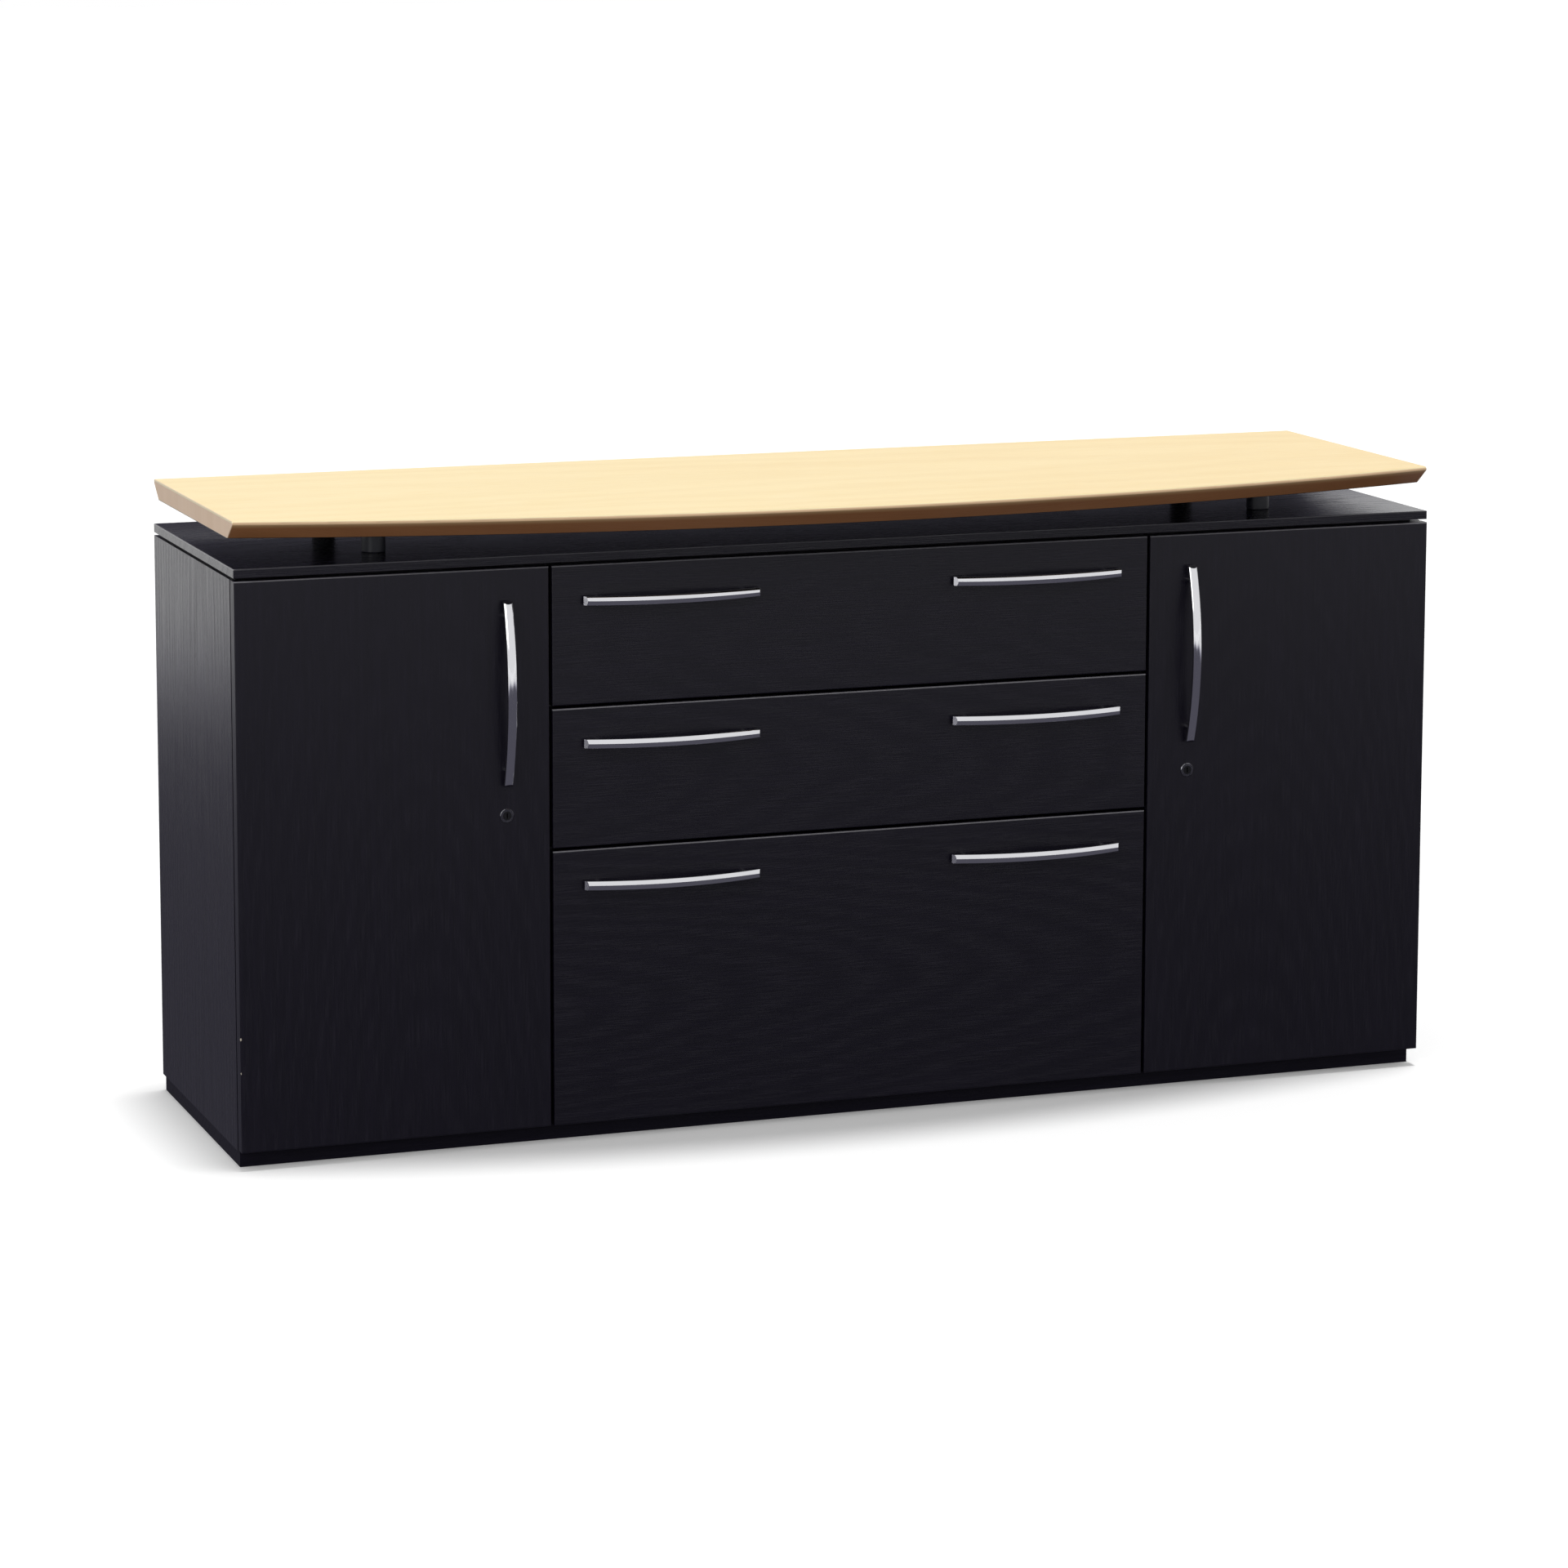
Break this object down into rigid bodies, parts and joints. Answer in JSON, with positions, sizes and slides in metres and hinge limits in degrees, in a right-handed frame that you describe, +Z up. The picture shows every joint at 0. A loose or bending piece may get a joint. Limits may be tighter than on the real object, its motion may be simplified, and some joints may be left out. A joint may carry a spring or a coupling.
{
  "type": "office sideboard",
  "caption": "Low black veneered sideboard with hinged side doors, a middle stack of drawers and a bow-fronted pale wooden top raised on posts.",
  "frame": {"origin": "on the floor, in the middle of the sideboard's own box", "axes": "+X to the right as seen from the front, +Y to the back, +Z up"},
  "size_m": [1.6, 0.543, 0.803],
  "materials": {
    "black_veneer": "black-stained open-grain veneer, satin lacquer",
    "maple_top": "pale maple, satin lacquer",
    "handle_chrome": "polished chrome",
    "post_metal": "dark satin paint",
    "hardware_steel": "zinc-plated steel",
    "drawer_board": "pale lacquered board",
    "lock_black": "black satin"
  },
  "bodies": {
    "carcass": {"back_panel": "black_veneer", "bottom_panel": "black_veneer", "cap_panel": "black_veneer", "carcass_top": "black_veneer", "hinge_arms": "hardware_steel", "hinge_plates": "hardware_steel", "left_divider": "black_veneer", "left_shelf": "black_veneer", "left_side_panel": "black_veneer", "lock_strikes": "hardware_steel", "lower_drawer_cabinet_rails": "hardware_steel", "middle_drawer_cabinet_rails": "hardware_steel", "plinth_frame": "black_veneer", "post_bolts": "hardware_steel", "right_divider": "black_veneer", "right_shelf": "black_veneer", "right_side_panel": "black_veneer", "shelf_pins": "hardware_steel", "spacer_panel": "black_veneer", "top_posts": "post_metal", "upper_drawer_cabinet_rails": "hardware_steel", "wood_top": "maple_top"},
    "left_links": {"left_hinge_links": "hardware_steel"},
    "left_door": {"left_door": "black_veneer", "left_door_handle": "handle_chrome", "left_door_handle_screws": "hardware_steel", "left_hinge_cups": "hardware_steel", "left_lock_case": "lock_black"},
    "left_plug": {"left_lock_plug": "lock_black"},
    "right_links": {"right_hinge_links": "hardware_steel"},
    "right_door": {"right_door": "black_veneer", "right_door_handle": "handle_chrome", "right_door_handle_screws": "hardware_steel", "right_hinge_cups": "hardware_steel", "right_lock_case": "lock_black"},
    "right_plug": {"right_lock_plug": "lock_black"},
    "lower_drawer": {"lower_drawer_front": "black_veneer", "lower_drawer_handles": "handle_chrome", "lower_drawer_handle_screws": "hardware_steel", "lower_drawer_sides": "drawer_board", "lower_drawer_bottom": "drawer_board", "lower_drawer_back": "drawer_board", "lower_drawer_drawer_rails": "hardware_steel"},
    "lower_drawer_slides": {"lower_drawer_middle_rails": "hardware_steel"},
    "middle_drawer": {"middle_drawer_front": "black_veneer", "middle_drawer_handles": "handle_chrome", "middle_drawer_handle_screws": "hardware_steel", "middle_drawer_sides": "drawer_board", "middle_drawer_bottom": "drawer_board", "middle_drawer_back": "drawer_board", "middle_drawer_drawer_rails": "hardware_steel"},
    "middle_drawer_slides": {"middle_drawer_middle_rails": "hardware_steel"},
    "upper_drawer": {"upper_drawer_front": "black_veneer", "upper_drawer_handles": "handle_chrome", "upper_drawer_handle_screws": "hardware_steel", "upper_drawer_sides": "drawer_board", "upper_drawer_bottom": "drawer_board", "upper_drawer_back": "drawer_board", "upper_drawer_drawer_rails": "hardware_steel"},
    "upper_drawer_slides": {"upper_drawer_middle_rails": "hardware_steel"}
  },
  "joints": [
    {"name": "left_link_swing", "type": "hinge", "parent": "carcass", "child": "left_links", "pos_m": [-0.766, -0.1485, 0.3765], "axis": [0, 0, -1], "range_deg": [-35, 0]},
    {"name": "left_door_swing", "type": "hinge", "parent": "left_links", "child": "left_door", "pos_m": [-0.787, -0.1445, 0.3765], "axis": [0, 0, -1], "range_deg": [0, 135]},
    {"name": "left_lock_turn", "type": "hinge", "parent": "left_door", "child": "left_plug", "pos_m": [-0.4595, -0.15, 0.4215], "axis": [0, -1, 0], "range_deg": [0, 90]},
    {"name": "right_link_swing", "type": "hinge", "parent": "carcass", "child": "right_links", "pos_m": [0.766, -0.1485, 0.3765], "axis": [0, 0, 1], "range_deg": [-35, 0]},
    {"name": "right_door_swing", "type": "hinge", "parent": "right_links", "child": "right_door", "pos_m": [0.787, -0.1445, 0.3765], "axis": [0, 0, 1], "range_deg": [0, 135]},
    {"name": "right_lock_turn", "type": "hinge", "parent": "right_door", "child": "right_plug", "pos_m": [0.4595, -0.15, 0.4215], "axis": [0, 1, 0], "range_deg": [0, 90]},
    {"name": "lower_drawer_slide", "type": "slide", "parent": "carcass", "child": "lower_drawer", "axis": [0, -1, 0], "range_m": [0, 0.35]},
    {"name": "lower_drawer_runner_slide", "type": "slide", "parent": "carcass", "child": "lower_drawer_slides", "axis": [0, -1, 0], "range_m": [0, 0.175]},
    {"name": "middle_drawer_slide", "type": "slide", "parent": "carcass", "child": "middle_drawer", "axis": [0, -1, 0], "range_m": [0, 0.35]},
    {"name": "middle_drawer_runner_slide", "type": "slide", "parent": "carcass", "child": "middle_drawer_slides", "axis": [0, -1, 0], "range_m": [0, 0.175]},
    {"name": "upper_drawer_slide", "type": "slide", "parent": "carcass", "child": "upper_drawer", "axis": [0, -1, 0], "range_m": [0, 0.35]},
    {"name": "upper_drawer_runner_slide", "type": "slide", "parent": "carcass", "child": "upper_drawer_slides", "axis": [0, -1, 0], "range_m": [0, 0.175]}
  ],
  "couplings": [
    {"joint": "left_link_swing", "follows": "left_door_swing", "ratio": -0.25925},
    {"joint": "right_link_swing", "follows": "right_door_swing", "ratio": -0.25925},
    {"joint": "lower_drawer_runner_slide", "follows": "lower_drawer_slide", "ratio": 0.5},
    {"joint": "middle_drawer_runner_slide", "follows": "middle_drawer_slide", "ratio": 0.5},
    {"joint": "upper_drawer_runner_slide", "follows": "upper_drawer_slide", "ratio": 0.5}
  ]
}
